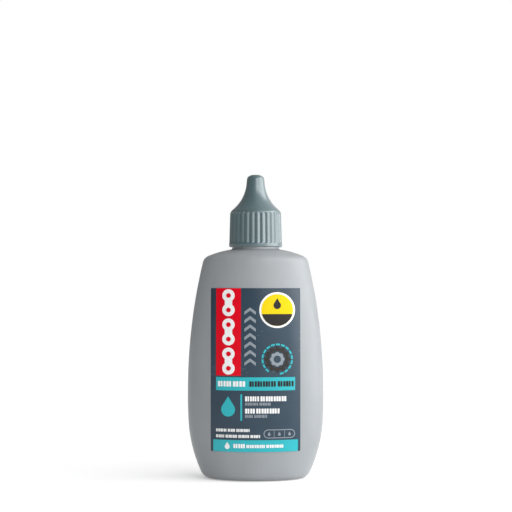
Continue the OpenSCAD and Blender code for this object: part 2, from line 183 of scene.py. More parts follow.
# %% A finish
class Recipe(Wiring):
    """A finish under construction: a material, its shader, and the coordinates of the piece in metres."""

    def __init__(self, name, roughness, **constants):
        self.material = bpy.data.materials.new(name)
        self.material.use_nodes = True
        super().__init__(self.material.node_tree)
        self.shader = self.tree.nodes["Principled BSDF"]
        self.feed(self.shader.inputs["Roughness"], roughness)
        for label, value in constants.items():
            self.feed(self.shader.inputs[label.replace("_", " ").title()], value)
        self.place = self.node("ShaderNodeTexCoord", out="Object")

    def noise(self, size_mm, detail, stretch=(1, 1, 1)):
        """Noise from 0 to 1 whose grains are about that many millimetres wide."""
        across = tuple(1 / (size_mm * MM * s) for s in stretch)
        spot = self.node("ShaderNodeMapping", {}, {"Vector": self.place, "Scale": across})
        return self.node("ShaderNodeTexNoise", {}, {"Vector": spot, "Scale": 1.0, "Detail": detail}, out="Fac")

    def mix(self, share, first, second):
        """From the first colour to the second; numbers 6 and 7 are the colours' sockets."""
        sockets = {"Factor": share, 6: first, 7: second}
        return self.node("ShaderNodeMix", {"data_type": "RGBA"}, sockets, out=2)

    def axes(self):
        """The three coordinates of the surface, in millimetres."""
        return [part * (1 / MM) for part in self.several("ShaderNodeSeparateXYZ", "XYZ", {0: self.place})]

    def paint(self, colour):
        self.feed(self.shader.inputs["Base Color"], colour)

    def relief(self, height, depth_mm):
        bump = self.node("ShaderNodeBump", {}, {"Height": height, "Distance": depth_mm * MM})
        self.feed(self.shader.inputs["Normal"], bump)


# %% [markdown]
# ## The finishes of the two plastics
# The bottle is blown from polyethylene with a silver-grey pigment: the mould's blasted surface leaves a fine
# grain, so its highlights are broad and soft. The cap is injected polypropylene in a darker grey-teal, a
# little glossier. The insert is natural polyethylene, milky and slightly see-through.
#
# A flat colour would look like clay. Each finish gets three things that real plastic has: cloudy pigment at
# the scale of centimetres, a grain at the scale of tenths of a millimetre, and a roughness that wanders. The
# cap also has a coat, because its polished mould gives it a sharper gloss over the same soft body.

# %% Plastics
def plastic(name, colour, roughness, grain_mm, cloud=0.04, grain_depth=0.01, **constants):
    """A satin plastic with cloudy pigment, a fine grain and a roughness that wanders."""
    recipe = Recipe(name, roughness, **constants)
    cloudy = recipe.noise(14, 3, (1, 1, 1.6))
    grain = recipe.noise(grain_mm, 2)
    darker = tuple(c * (1 - cloud) for c in colour)
    lighter = tuple(min(1, c * (1 + cloud)) for c in colour)
    recipe.paint(recipe.mix(cloudy.fade(0.3, 0.7), darker, lighter))
    recipe.feed(recipe.shader.inputs["Roughness"], roughness + 0.05 * (cloudy - 0.5) + 0.06 * (grain - 0.5))
    recipe.relief(grain + 0.5 * cloudy, grain_depth)
    return recipe


bottle_plastic = plastic("bottle_plastic", (0.33, 0.351, 0.368), 0.38, 0.35, coat_roughness=0.18)
cap_plastic = plastic(
    "cap_plastic", (0.074, 0.131, 0.146), 0.3, 0.25, grain_depth=0.0015, coat_weight=1.0, coat_roughness=0.3
)
cap_plastic.shader.inputs["Specular IOR Level"].default_value = 0.8
nozzle_plastic = plastic("nozzle_plastic", (0.58, 0.6, 0.575), 0.36, 0.4, cloud=0.02, subsurface_weight=0.35)
nozzle_plastic.shader.inputs["Subsurface Radius"].default_value = (1, 1, 1)
nozzle_plastic.shader.inputs["Subsurface Scale"].default_value = 0.0012
print("plastics", bottle_plastic.material.name, cap_plastic.material.name, nozzle_plastic.material.name)

# %% [markdown]
# ## The outline of the body
# Seen from the front, the body is five arcs that meet without a kink: the heel, a turn, the long side, the
# shoulder's corner and the dome. The same arcs and numbers are in the part's source. An arc is named by the
# angle of its outward normal: -90 looks down, 0 sideways and 90 up.

# %% Arcs of the outline
def on_arc(centre, radius, angle):
    return (centre[0] + radius * cos(radians(angle)), centre[1] + radius * sin(radians(angle)))


def arc(centre, radius, start, end, steps):
    """Points and normals' angles along an arc, without its first point."""
    angles = [start + (end - start) * i / steps for i in range(1, steps + 1)]
    return [(*on_arc(centre, radius, angle), angle) for angle in angles]


BODY_WIDTH, BODY_DEPTH, BELLY = 55.8, 34.0, 35.3
SIDE_R, LOWER_Z, LOWER_R, HEEL_R = 230.0, 23.7, 57.2, 4.3
SHOULDER_Z, CORNER_R, CORNER_TURN, DOME_R = 88.5, 3.8, 67.0, 38.3
COLLAR_R, WALL = 9.55, 1.0

side_centre = (BODY_WIDTH / 2 - SIDE_R, BELLY)
side_low = degrees(asin((BELLY - LOWER_Z) / SIDE_R))
lower_centre = on_arc(side_centre, SIDE_R - LOWER_R, -side_low)
heel_turn = degrees(asin((lower_centre[1] - HEEL_R) / (LOWER_R - HEEL_R)))
heel_centre = on_arc(lower_centre, LOWER_R - HEEL_R, -heel_turn)
side_high = degrees(asin((SHOULDER_Z - BELLY) / SIDE_R))
corner_centre = on_arc(side_centre, SIDE_R - CORNER_R, side_high)
dome_centre = on_arc(corner_centre, CORNER_R - DOME_R, CORNER_TURN)
dome_foot = degrees(acos((COLLAR_R - dome_centre[0]) / DOME_R))
NECK_Z = on_arc(dome_centre, DOME_R, dome_foot)[1]
print("the neck starts at", round(NECK_Z, 3), "mm")

# %% [markdown]
# ## The depth of the body
# From above, every level is an oval, and the neck is a circle. So the body can be spun as a round thing
# first, and each point then moved towards the middle plane by the ratio of depth to width at its level. The
# depth follows the width from the belly up to the round collar, and the heel is round in both directions.

# %% Depth against width
depth_share = (BODY_DEPTH / 2 - COLLAR_R) / (BODY_WIDTH / 2 - COLLAR_R)
heel_top = HEEL_R * (1 - sin(radians(heel_turn)))
heel_in = HEEL_R * (1 - depth_share)


def half_depth(width, z):
    """Half depth of the outside where its half width is known."""
    drop = 0.0 if z >= heel_top else heel_in * (1 - sqrt(max(0.0, 1 - (1 - z / heel_top) ** 2)))
    return COLLAR_R + depth_share * (width - COLLAR_R) - drop


def half_width(z):
    """Half width of the outside between the heel and the shoulder."""
    centre, radius = (lower_centre, LOWER_R) if z < LOWER_Z else (side_centre, SIDE_R)
    return centre[0] + sqrt(radius**2 - (z - centre[1]) ** 2)


print("depth at the belly", round(2 * half_depth(half_width(BELLY), BELLY), 2), "mm")

# %% [markdown]
# ## Spinning a squeezed profile
# A profile is a list of points with a radius, a height and the half depth that the radius becomes at the
# front. bmesh.ops.spin turns it round the upright axis. The ratio of depth to radius travels with each point
# in a custom layer, because spin copies layers, and one pass over the points then squeezes the round shape.
#
# A moulded edge is never sharp, and its round is what catches the light. A bevel after the spin could round
# every edge alike. Here a corner of the profile carries its own fillet radius instead.

# %% Spin and squeeze
def spun(profile, segments, closed=True):
    """A bmesh from a profile of (radius, height, half depth) points, turned right round."""
    bm = bmesh.new()
    flat = bm.verts.layers.float.new("flat")
    row = []
    for radius, z, depth in profile:
        point = bm.verts.new((radius, 0, z))
        point[flat] = depth / radius if radius > 1e-6 else 1.0
        row.append(point)
    pairs = list(zip(row, row[1:])) + ([(row[-1], row[0])] if closed else [])
    lines = [bm.edges.new(pair) for pair in pairs]
    bmesh.ops.spin(
        bm, geom=row + lines, cent=(0, 0, 0), axis=(0, 0, 1), angle=2 * pi, steps=segments, use_merge=True
    )
    for point in bm.verts:
        point.co.y *= point[flat]
    return bm


# %% Round corners of a profile
FILLET_STEPS = 5


def fillet(corner, before, after, radius):
    """Points of a round corner between two straight lines of a profile."""
    corner, before, after = Vector(corner), Vector(before), Vector(after)
    one, two = (before - corner).normalized(), (after - corner).normalized()
    half = one.angle(two) / 2
    start, middle = corner + one * radius / tan(half), corner + (one + two).normalized() * radius / sin(half)
    sweep = pi - 2 * half
    turn = 1 if one.cross(two) < 0 else -1
    first = start - middle
    angles = [turn * sweep * i / FILLET_STEPS for i in range(FILLET_STEPS + 1)]
    return [tuple(middle + Matrix.Rotation(angle, 2) @ first) for angle in angles]


def rounded(points, closed=True):
    """A profile's points, where each is (radius, height) or (radius, height, fillet radius)."""
    out = []
    count = len(points)
    for i, point in enumerate(points):
        inner = closed or 0 < i < count - 1
        if len(point) == 3 and inner:
            out += fillet(point[:2], points[i - 1][:2], points[(i + 1) % count][:2], point[2])
        else:
            out.append(tuple(point[:2]))
    return out


# %% [markdown]
# ## The bottle
# The real bottle is one blown skin about a millimetre thick: raised base, heel, body, shoulder, a plain
# collar that the cap's skirt comes down over, and the neck. Its profile runs up the outside and back down
# the inside, so the spin gives one closed wall. The inside follows the outside's normals.

# %% Profile of the bottle
STAND_W, PUSH_UP, COLLAR_FILLET = 2.6, 1.6, 0.8
COLLAR_H, NECK_H, FINISH_R, THREAD_H, MOUTH_R = 2.3, 13.2, 7.9, 0.9, 6.2
RIM_Z = NECK_Z + NECK_H

outline = [(*on_arc(heel_centre, HEEL_R, -90), -90.0)]
outline += arc(heel_centre, HEEL_R, -90, -heel_turn, 14)
outline += arc(lower_centre, LOWER_R, -heel_turn, -side_low, 10)
outline += arc(side_centre, SIDE_R, -side_low, side_high, 22)
outline += arc(corner_centre, CORNER_R, side_high, CORNER_TURN, 12)
outline += arc(dome_centre, DOME_R, CORNER_TURN, dome_foot, 12)


def base_rings(gap):
    """The raised middle of the base, from its centre outwards."""
    width, z = outline[0][0] - STAND_W, gap
    depth = half_depth(outline[0][0], 0) - STAND_W
    shares = [(0.0, 1.0), (0.3, 1.0), (0.6, 0.93), (0.75, 0.8), (0.9, 0.45), (0.97, 0.12), (1.0, 0.0)]
    return [(width * share, z + PUSH_UP * rise, depth * share) for share, rise in shares]


def dressed(points):
    """Adds to each point of the outside its half depth."""
    return [(x, z, half_depth(x, z)) for x, z, *_ in points]


collar_foot = fillet((COLLAR_R, NECK_Z), outline[-2][:2], (COLLAR_R, NECK_Z + COLLAR_H), COLLAR_FILLET)
outside = dressed(outline[:-1] + collar_foot)
inside = [
    (x - WALL * cos(radians(angle)), z - WALL * sin(radians(angle)), half_depth(x, z) - WALL * cos(radians(angle)))
    for x, z, angle in outline
]
neck = rounded([
    (COLLAR_R, NECK_Z), (COLLAR_R, NECK_Z + COLLAR_H, 0.4), (FINISH_R, NECK_Z + COLLAR_H, 0.3),
    (FINISH_R, RIM_Z, 0.25), (MOUTH_R, RIM_Z, 0.2), (MOUTH_R, NECK_Z - 0.3, 0.8), (COLLAR_R - 0.6, NECK_Z - 1.0),
], closed=False)[1:-1]
bottle_profile = base_rings(0)[:-1] + [(outline[0][0] - STAND_W, 0.0, outside[0][2] - STAND_W)]
bottle_profile += outside + [(r, z, r) for r, z in neck]
bottle_profile += inside[::-1] + base_rings(WALL)[::-1]
print("points in the bottle's profile", len(bottle_profile))

# %% [markdown]
# ## A screw thread
# The thread on the neck is one and a half turns of a rounded ridge, and the cap has its counterpart inside.
# A ready-made screw modifier would leave blunt ends, where a moulded thread runs out to nothing. So one
# section is spun with a lift per step, and its points sink towards the root near both ends. A Boolean
# modifier then welds the ridge on, because on the real pieces it is the same plastic.

# %% A thread's ridge
PITCH, TURNS = 3.175, 1.5
TURN_STEPS, RUN_OUT, ROOT_SINK, END_SINK = 72, 4.0, 0.25, 0.02


def thread_ridge(root_r, crest_r, root_half, crest_half, middle_z):
    """A closed helical ridge from its root radius to its crest radius, whose ends run out."""
    bm = bmesh.new()
    outward = 1 if crest_r > root_r else -1
    sink = -ROOT_SINK * outward
    lean = (crest_r - root_r) * 0.75
    section = [
        (root_r + sink, -root_half), (root_r, -root_half), (root_r + lean, -crest_half - 0.08),
        (crest_r, -crest_half + 0.1), (crest_r, crest_half - 0.1), (root_r + lean, crest_half + 0.08),
        (root_r, root_half), (root_r + sink, root_half),
    ]
    ring = [bm.verts.new((x, 0, middle_z + z)) for x, z in section]
    first = bm.faces.new(ring)
    steps = int(TURN_STEPS * TURNS)
    bmesh.ops.spin(
        bm, geom=[first], cent=(0, 0, 0), axis=(0, 0, 1), dvec=(0, 0, PITCH * TURNS / steps),
        angle=2 * pi * TURNS, steps=steps, use_duplicate=False
    )
    for point in bm.verts:
        turned = atan2(point.co.y, point.co.x) / (2 * pi) % 1.0
        level = (point.co.z - middle_z) / PITCH
        along = min((whole + turned for whole in range(3)), key=lambda t: abs(t - level))
        near_end = min(along, TURNS - along) * 2 * pi * root_r
        share = min(1.0, max(0.0, near_end / RUN_OUT))
        share = share * share * (3 - 2 * share)
        radius = point.co.xy.length
        if (radius - root_r) * outward > 0.001:
            wanted = root_r + (radius - root_r) * share - END_SINK * outward * (1 - share)
            point.co.xy *= wanted / radius
    bmesh.ops.recalc_face_normals(bm, faces=bm.faces)
    return bm


# %% Weld two shapes into one
def welded(piece, other_bm):
    """Adds a second closed shape, in millimetres, to a piece as one solid."""
    tool_mesh = made_mesh(other_bm, "tool")
    tool = placed("tool", tool_mesh)
    union = piece.modifiers.new("weld", "BOOLEAN")
    union.operation, union.solver, union.object = "UNION", "EXACT", tool
    graph = bpy.context.evaluated_depsgraph_get()
    joined = bpy.data.meshes.new_from_object(piece.evaluated_get(graph))
    piece.modifiers.clear()
    old, piece.data = piece.data, joined
    bpy.data.objects.remove(tool)
    for mesh in (old, tool_mesh):
        bpy.data.meshes.remove(mesh)
    shade(joined)
    print(f"{piece.name} with its thread: {len(joined.polygons)} faces")


# %% [markdown]
# ## The mould's seam
# A blown bottle always shows where the two halves of its mould met: a fine raised line up both narrow sides
# and across the base, where the hot tube was pinched off. A separate strip would never follow the arcs so
# well. The spin already has a row of points in that plane, so two cuts with bisect_plane beside it give the
# line its edges, and the row is pushed out by less than a tenth of a millimetre.

# %% Make the bottle
SEAM_HALF, SEAM_H, SEAM_END = 0.2, 0.07, 0.6

bm = close_up(spun(bottle_profile, 160))
for offset in (-SEAM_HALF, SEAM_HALF):
    bmesh.ops.bisect_plane(
        bm, geom=bm.verts[:] + bm.edges[:] + bm.faces[:], dist=0.0001, plane_co=(0, offset, 0), plane_no=(0, 1, 0)
    )
bm.normal_update()
seam = [
    point for point in bm.verts
    if abs(point.co.y) < 0.001 and (point.co.z < NECK_Z and abs(point.co.x) > COLLAR_R or point.co.z > NECK_Z)
    and point.normal.to_2d().dot(point.co.to_2d()) > 0 and point.co.z < RIM_Z - SEAM_END
]
for point in seam:
    point.co += point.normal * SEAM_H
    point.co.z = max(point.co.z, 0.0)
print("points on the seam", len(seam))
bottle = finish_piece(bm, "bottle_body", bottle_plastic, "bottle", ["bottle"])
thread_top = RIM_Z - 2.6
neck_thread = thread_ridge(
    FINISH_R, FINISH_R + THREAD_H, root_half=0.85, crest_half=0.35, middle_z=thread_top - PITCH * TURNS
)
welded(bottle, neck_thread)

# %% [markdown]
# ## The polish of the neck, and painted light on it
# The part of a blow mould that forms the collar and the neck is a smooth steel insert, because the cap has
# to slide and seal there, so the plastic comes out smoother from the collar up. Under the cap's skirt the
# collar lies in shade, so it is painted a lighter colour: painted light. A second material would need a cut.
# One mask by height does it instead: it mixes in the lighter colour, and it switches on a clear coat that
# stands in for the polish.

# %% Polish the neck and paint light on the collar
# A lighter colour on the collar and neck: painted light against the shade of the cap's skirt.
NECK_PAINTED_LIGHT_COLOUR = (0.4, 0.426, 0.443)

_, _, up = bottle_plastic.axes()
polish_and_painted_light = up.fade(NECK_Z - 0.2, NECK_Z + 0.2)
blasted_colour = Value(bottle_plastic, bottle_plastic.shader.inputs["Base Color"].links[0].from_socket)
# The lighter mix is painted light; the coat below is the polish.
bottle_plastic.paint(bottle_plastic.mix(polish_and_painted_light, blasted_colour, NECK_PAINTED_LIGHT_COLOUR))
bottle_plastic.feed(bottle_plastic.shader.inputs["Coat Weight"], polish_and_painted_light)
print("polished from", round(NECK_Z, 1), "mm up")

# %% [markdown]
# ## The dropper insert
# Pressed into the neck sits a moulded insert: a plug with a lead-in, a flange that rests on the rim, and a
# slender spout with a fine hole that lets single drops out. All edges of the real insert are slightly round.

# %% Make the insert
PLUG_H, PLUG_GAP, FLANGE_T, FLANGE_INSET = 6.5, 0.04, 1.0, 0.3
SPOUT_H, SPOUT_BASE_R, SPOUT_TIP_R, INSERT_WALL, JET_R, JET_H = 13.0, 4.9, 1.9, 1.2, 0.6, 3.0
FLANGE_Z = RIM_Z + FLANGE_T
SPOUT_Z = FLANGE_Z + SPOUT_H
plug_r = MOUTH_R - PLUG_GAP
flange_r = FINISH_R - FLANGE_INSET
plug_foot = RIM_Z - PLUG_H

insert_profile = rounded([
    (plug_r - INSERT_WALL, plug_foot, 0.15), (plug_r - 0.3, plug_foot, 0.15), (plug_r, plug_foot + 1, 0.6),
    (plug_r, RIM_Z), (flange_r, RIM_Z, 0.1), (flange_r, FLANGE_Z, 0.3), (SPOUT_BASE_R, FLANGE_Z, 0.45),
    (SPOUT_TIP_R, SPOUT_Z, 0.35), (JET_R, SPOUT_Z, 0.15), (JET_R, SPOUT_Z - JET_H, 0.4),
    (SPOUT_BASE_R - INSERT_WALL, FLANGE_Z, 0.5), (plug_r - INSERT_WALL, RIM_Z - INSERT_WALL, 0.3),
])
bm = close_up(spun([(r, z, r) for r, z in insert_profile], 96))
finish_piece(bm, "dropper_insert", nozzle_plastic, "bottle", ["nozzle"])

# %% [markdown]
# ## The cap
# The cap is one moulding: a skirt with 30 ribs between a plain band and a rounded corner, then a hollow-sided
# flare up to a short taper and a rounded tip. Inside are the bore, a seat for the insert, a cone for the
# spout and a pin that plugs the hole. All of that is round, so its profile comes first: down the inside from
# the pin, and up the outside to the tip.

# %% Profile of the cap
RIM_GAP, BORE_GAP, COLLAR_GAP, SEAT_GAP = 0.95, 0.25, 0.3, 0.3
SKIRT_WALL, SKIRT_DRAFT, RIBS, RIB_H, BAND_H = 0.9, 1.6, 30, 0.6, 1.5
CAP_CORNER_R, FLARE_FOOT, FLARE_HEAD, FLARE_R, TAPER_H = 2.7, 47.6, 5.7, 15.3, 2.65
TIP_R, TIP_CHAMFER, TIP_WALL, PIN_H, PIN_GAP = 3.5, 1.2, 3.2, 1.6, 0.15
TIP_CORNERS = [(3.56, 1.58, 2.0), (3.15, 0.76, 1.3), (1.75, 0.0, 1.6)]

CAP_Z = NECK_Z + RIM_GAP
CAP_TOP_Z = SPOUT_Z + SEAT_GAP + TIP_WALL
bore_r = FINISH_R + THREAD_H + BORE_GAP
skirt_r = bore_r + SKIRT_WALL + RIB_H
taper_top = (TIP_R, CAP_TOP_Z - TIP_CHAMFER)
taper_foot = (TIP_R + TAPER_H * tan(radians(FLARE_HEAD)), taper_top[1] - TAPER_H)
flare_centre = on_arc(taper_foot, FLARE_R, FLARE_HEAD)
flare_end = on_arc(flare_centre, FLARE_R, 180 + FLARE_FOOT)
flare_line = flare_end[0] * cos(radians(FLARE_FOOT)) + flare_end[1] * sin(radians(FLARE_FOOT))
corner_x = skirt_r - CAP_CORNER_R
cap_corner = (
    corner_x, (flare_line - CAP_CORNER_R - corner_x * cos(radians(FLARE_FOOT))) / sin(radians(FLARE_FOOT))
)
skirt_top = on_arc(cap_corner, CAP_CORNER_R, SKIRT_DRAFT)


def skirt_at(z):
    """Radius of the skirt before its ribs, at a height."""
    return skirt_top[0] + (skirt_top[1] - z) * tan(radians(SKIRT_DRAFT))


rib_foot, rib_head = CAP_Z + BAND_H, skirt_top[1] + 0.35 * CAP_CORNER_R
skirt_heights = [rib_foot - 0.15, rib_foot, rib_foot + 0.12, rib_foot + 0.3, rib_foot + 0.6]
skirt_heights += [rib_foot + 0.6 + (skirt_top[1] - 0.6 - rib_foot) * i / 8 for i in range(1, 8)]
counterbore = (COLLAR_R + COLLAR_GAP, NECK_Z + COLLAR_H + COLLAR_GAP)
cap_outside = rounded([
    (counterbore[0], CAP_Z + 2), (counterbore[0], CAP_Z, 0.15), (skirt_at(CAP_Z), CAP_Z, 0.3),
    (skirt_at(rib_foot - 0.15), rib_foot - 0.15),
], closed=False)[1:-1]
cap_outside += [(skirt_at(z), z) for z in skirt_heights] + [skirt_top]
cap_outside += [(x, z) for x, z, _ in arc(cap_corner, CAP_CORNER_R, SKIRT_DRAFT, FLARE_FOOT, 14)]
flare = arc(flare_centre, FLARE_R, 180 + FLARE_FOOT, 180 + FLARE_HEAD, 20)
cap_outside += [flare_end] + [(x, z) for x, z, _ in flare]
cap_outside += rounded([
    taper_foot, *[(radius, CAP_TOP_Z - below, fillet_r) for radius, below, fillet_r in TIP_CORNERS], (0, CAP_TOP_Z)
], closed=False)[1:]
cap_inside = rounded([
    (0, SPOUT_Z - PIN_H), (JET_R - PIN_GAP, SPOUT_Z - PIN_H, 0.15), (JET_R - PIN_GAP, SPOUT_Z + SEAT_GAP, 0.2),
    (SPOUT_TIP_R + SEAT_GAP, SPOUT_Z + SEAT_GAP, 0.2), (SPOUT_BASE_R + SEAT_GAP, FLANGE_Z + SEAT_GAP, 0.2),
    (bore_r, FLANGE_Z + SEAT_GAP, 0.2), (bore_r, counterbore[1], 0.15), (counterbore[0], counterbore[1], 0.15),
    (counterbore[0], CAP_Z + 2),
], closed=False)
print("points in the cap's profile", len(cap_inside) + len(cap_outside))

# %% [markdown]
# ## The ribs of the cap
# The ribs give fingers a grip. Thirty separate ribs could be joined on, but they are nothing more than a wave
# in the skirt. So the profile is spun with twelve steps to a rib, and every point of the skirt is then moved
# to its place on one drawn cross-section of half a rib: a flat back, a straight flank that leans by about 28
# degrees, and a narrow groove. The flanks are straight because each one then mirrors the lamp as one even
# bar. The finished cap is turned by two degrees, so that the bars stand where the picture has them.
#
# The cross-section is a list of pairs: how far a point stands from the rib's middle, as a share of half the
# pitch, and how deep it lies below the skirt, in millimetres.

# %% Make the cap with its ribs
RIB_FORM = [(0.0, 0.05), (0.2, 0.06), (0.28, 0.085), (0.52, 0.23), (0.76, 0.375), (0.88, 0.43), (1.0, 0.45)]
RIB_STEPS, RIB_TURN, FOOT_RUN, HEAD_RUN = 2 * (len(RIB_FORM) - 1), -2.0, 0.3, 0.5

bm = close_up(spun([(r, z, r) for r, z in cap_inside + cap_outside], RIBS * RIB_STEPS, closed=False))
for point in bm.verts:
    radius, z = point.co.xy.length, point.co.z
    if rib_foot - 0.01 < z < rib_head and radius > skirt_at(z) - RIB_H:
        turned = atan2(point.co.y, point.co.x) / (2 * pi) * RIBS
        rib = round(turned)
        step = round((turned - rib) * RIB_STEPS)
        share, below = RIB_FORM[abs(step)]
        strength = min(1.0, (z - rib_foot) / FOOT_RUN + 0.02) * min(1.0, (rib_head - z) / HEAD_RUN)
        wanted = rib + (share / 2 if step > 0 else -share / 2)
        angle = (turned + strength * (wanted - turned)) / RIBS * 2 * pi
        deep = min(radius, radius + strength * (skirt_at(z) - below - radius))
        point.co.xy = (deep * cos(angle), deep * sin(angle))
bmesh.ops.rotate(bm, cent=(0, 0, 0), matrix=Matrix.Rotation(radians(RIB_TURN), 3, "Z"), verts=bm.verts)
bmesh.ops.recalc_face_normals(bm, faces=bm.faces)
cap = finish_piece(bm, "screw_cap", cap_plastic, "cap", ["cap"], sharp=60)
cap_thread = thread_ridge(
    bore_r, FINISH_R + BORE_GAP, root_half=0.75, crest_half=0.3, middle_z=thread_top - PITCH * (TURNS + 0.5)
)
welded(cap, cap_thread)

# %% [markdown]
# ## The lubricant
# The filling is never seen from outside, because the bottle is opaque. Its CAD solid stays as it is and only
# gets a finish: a clear amber oil, a little darker where it is cloudier. It shows when the bottle is cut open.

# %% The finish of the lubricant
oil = Recipe("lubricant", 0.08, transmission_weight=0.6)
oil.shader.inputs["IOR"].default_value = 1.47
oil.paint(oil.mix(oil.noise(20, 2).fade(0.3, 0.7), (0.62, 0.36, 0.07), (0.72, 0.46, 0.11)))
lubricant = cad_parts["lubricant"]
lubricant.data.materials.clear()
lubricant.data.materials.append(oil.material)
print("lubricant keeps its CAD shape:", len(lubricant.data.polygons), "faces")

# %% [markdown]
# ## The label and its inks as thin sheets on a curved front
# The label is a film a tenth of a millimetre thick, and each ink is a thinner layer on it. All of them are
# cut flat and then laid on the front, as the real film is. A flat shape is cut into strips of about a
# millimetre first, so that it can bend, and the bend is one formula: the oval at each height, lifted by the
# glue and by what lies below.
#
# The print itself could be painted by a shader. Real thin shapes keep their crisp edges at any distance, and
# each ink stays a piece of its own, as in the CAD model.

# %% Laying a flat shape on the front
LABEL_W, LABEL_H, LABEL_Z = 36.1, 65.7, 12.3
FILM_T, INK_T, GLUE_T = 0.1, 0.04, 0.04
FILM_LIFT = GLUE_T
INK_LIFT = FILM_LIFT + FILM_T + GLUE_T
INK_STEP = INK_T + GLUE_T
STRIP_W, STRIP_H, SLIVER = 0.9, 2.0, 0.02


def strips(bm, axis, pitch):
    """Cuts a flat shape at every multiple of the pitch, but leaves no slivers at its ends."""
    low, high = [f(v.co.dot(axis) for v in bm.verts) for f in (min, max)]
    for i in range(int(low // pitch), int(high // pitch) + 1):
        if low + SLIVER < i * pitch < high - SLIVER:
            geometry = bm.verts[:] + bm.edges[:] + bm.faces[:]
            bmesh.ops.bisect_plane(bm, geom=geometry, dist=0.002, plane_co=i * pitch * axis, plane_no=axis)


def laid(bm, lift, thickness):
    """Cuts a flat shape (x, z in the plane y = 0) into strips, lays it on the front and gives it thickness."""
    strips(bm, Vector((1, 0, 0)), STRIP_W)
    strips(bm, Vector((0, 0, 1)), STRIP_H)
    for face in bm.faces:
        if face.normal.y > 0:
            face.normal_flip()
    grown = bmesh.ops.extrude_face_region(bm, geom=bm.faces[:])
    outer = {item for item in grown["geom"] if isinstance(item, bmesh.types.BMVert)}
    for point in bm.verts:
        height = lift + (thickness if point in outer else 0.0)
        width = half_width(point.co.z)
        depth = half_depth(width, point.co.z)
        point.co.y = -(depth + height) * sqrt(1 - (point.co.x / (width + height)) ** 2)
    bmesh.ops.recalc_face_normals(bm, faces=bm.faces)


# %% Flat shapes and their outlines
def flat_shape(bm, points, holes=()):
    """Adds a flat face through (x, z) points to a bmesh, with holes bridged to its edge."""
    ring = [bm.verts.new((x, 0, z)) for x, z in points]
    if not holes:
        bm.faces.new(ring)
        return
    edges = [bm.edges.new((a, b)) for a, b in zip(ring, ring[1:] + ring[:1])]
    for hole in holes:
        inner = [bm.verts.new((x, 0, z)) for x, z in hole]
        edges += [bm.edges.new((a, b)) for a, b in zip(inner, inner[1:] + inner[:1])]
    bmesh.ops.triangle_fill(bm, edges=edges, use_beauty=True, use_dissolve=False)


def oblong(x0, x1, z0, z1, radius=0.0, steps=5):
    """Points of a rectangle, with round corners where a radius is given."""
    if radius <= 0:
        return [(x0, z0), (x1, z0), (x1, z1), (x0, z1)]
    corners = [(x1 - radius, z0 + radius, -90), (x1 - radius, z1 - radius, 0),
               (x0 + radius, z1 - radius, 90), (x0 + radius, z0 + radius, 180)]
    return [on_arc((x, z), radius, start + 90 * i / steps) for x, z, start in corners for i in range(steps + 1)]


def outline_points(centre, radius_at, count):
    """Points of a closed shape whose radius is a function of the angle in degrees."""
    angles = [360 * (i + 0.5) / count for i in range(count)]
    return [(centre[0] + radius_at(a) * cos(radians(a)), centre[1] + radius_at(a) * sin(radians(a))) for a in angles]


DROP_TALL, DROP_STEPS = 1.9, 28


def drop(centre, radius):
    """A falling drop: a round foot and a pointed head."""
    turn = degrees(asin(1 / DROP_TALL))
    angles = [180 - turn + (180 + 2 * turn) * i / DROP_STEPS for i in range(DROP_STEPS + 1)]
    return [on_arc(centre, radius, angle) for angle in angles] + [(centre[0], centre[1] + radius * DROP_TALL)]


# %% [markdown]
# ## Where the print stands
# The layout hangs on the label's edges: a red band with three chain links up the left, a round badge and a
# sprocket picture on the right, two teal bars across, and lines of print shown as rows of upright blocks.

# %% Places of the print
FIELD_INSET, BAND_W, FOOT_BAR_H, NAME_BAR_UP, NAME_BAR_H = 2.15, 10.0, 4.8, 24.7, 5.3
CHEVRONS, CHEVRON_W, CHEVRON_RISE, CHEVRON_T = 7, 4.6, 1.7, 1.3
PILL_W, PILL_H, FRAME_T = 12.7, 3.6, 0.35
LINKS, LINK_REACH, LINK_END_R, LINK_WAIST, RIVET_R = 3, 2.9, 2.5, 1.5, 0.95
BADGE_R, BADGE_RIM, SPROCKET_R, TEETH = 7.2, 0.8, 5.3, 12
TEXT_H, NOTE_H = 2.0, 1.2

label_left, label_top = -LABEL_W / 2, LABEL_Z + LABEL_H
field_left, field_right = label_left + FIELD_INSET, -label_left - FIELD_INSET
band_right = field_left + BAND_W
foot_bar_z, name_bar_z = LABEL_Z + FOOT_BAR_H, LABEL_Z + NAME_BAR_UP
picture_z = name_bar_z + NAME_BAR_H + 0.6
link_pitch = (label_top - picture_z) / LINKS
link_heights = [picture_z + (i + 0.5) * link_pitch for i in range(LINKS)]
band_middle = (field_left + band_right) / 2
badge = (field_right - BADGE_R, label_top - BADGE_R - 1.6)
sprocket = (badge[0], picture_z + SPROCKET_R + 1.3)
chevron_x, chevron_pitch = band_right + CHEVRON_W / 2 + 1.4, CHEVRON_T + CHEVRON_RISE + 0.4
text_left, text_top = band_right + 1.7, name_bar_z - 2.3
text_pitch, note_top, note_pitch = 2.45 * TEXT_H, foot_bar_z + 4.5, 2 * NOTE_H
text_foot = text_top - 2 * text_pitch
pill = (field_right - PILL_W / 2, foot_bar_z + PILL_H / 2 + 0.7)
foot_middle = LABEL_Z + 2.4
print("badge at", badge, "sprocket at", sprocket)

# %% [markdown]
# ## The finishes of the film and the inks
# The film and the teal ink have a satin varnish, and the other inks are a little duller. The film's slate is
# printed with a faint picture of rain: drops of many sizes, a fine slanted hatch in the upper right corner
# and a rubbed patch beside the red band. Drops come from a Voronoi texture: the distance to each cell's point
# makes a disc, a shifted copy of it makes the bright side, and noise decides which cells are wet.

# %% The varnish of film and inks
SATIN, FILM_GLOSS, INK_GLOSS = 0.34, 0.5, 0.2


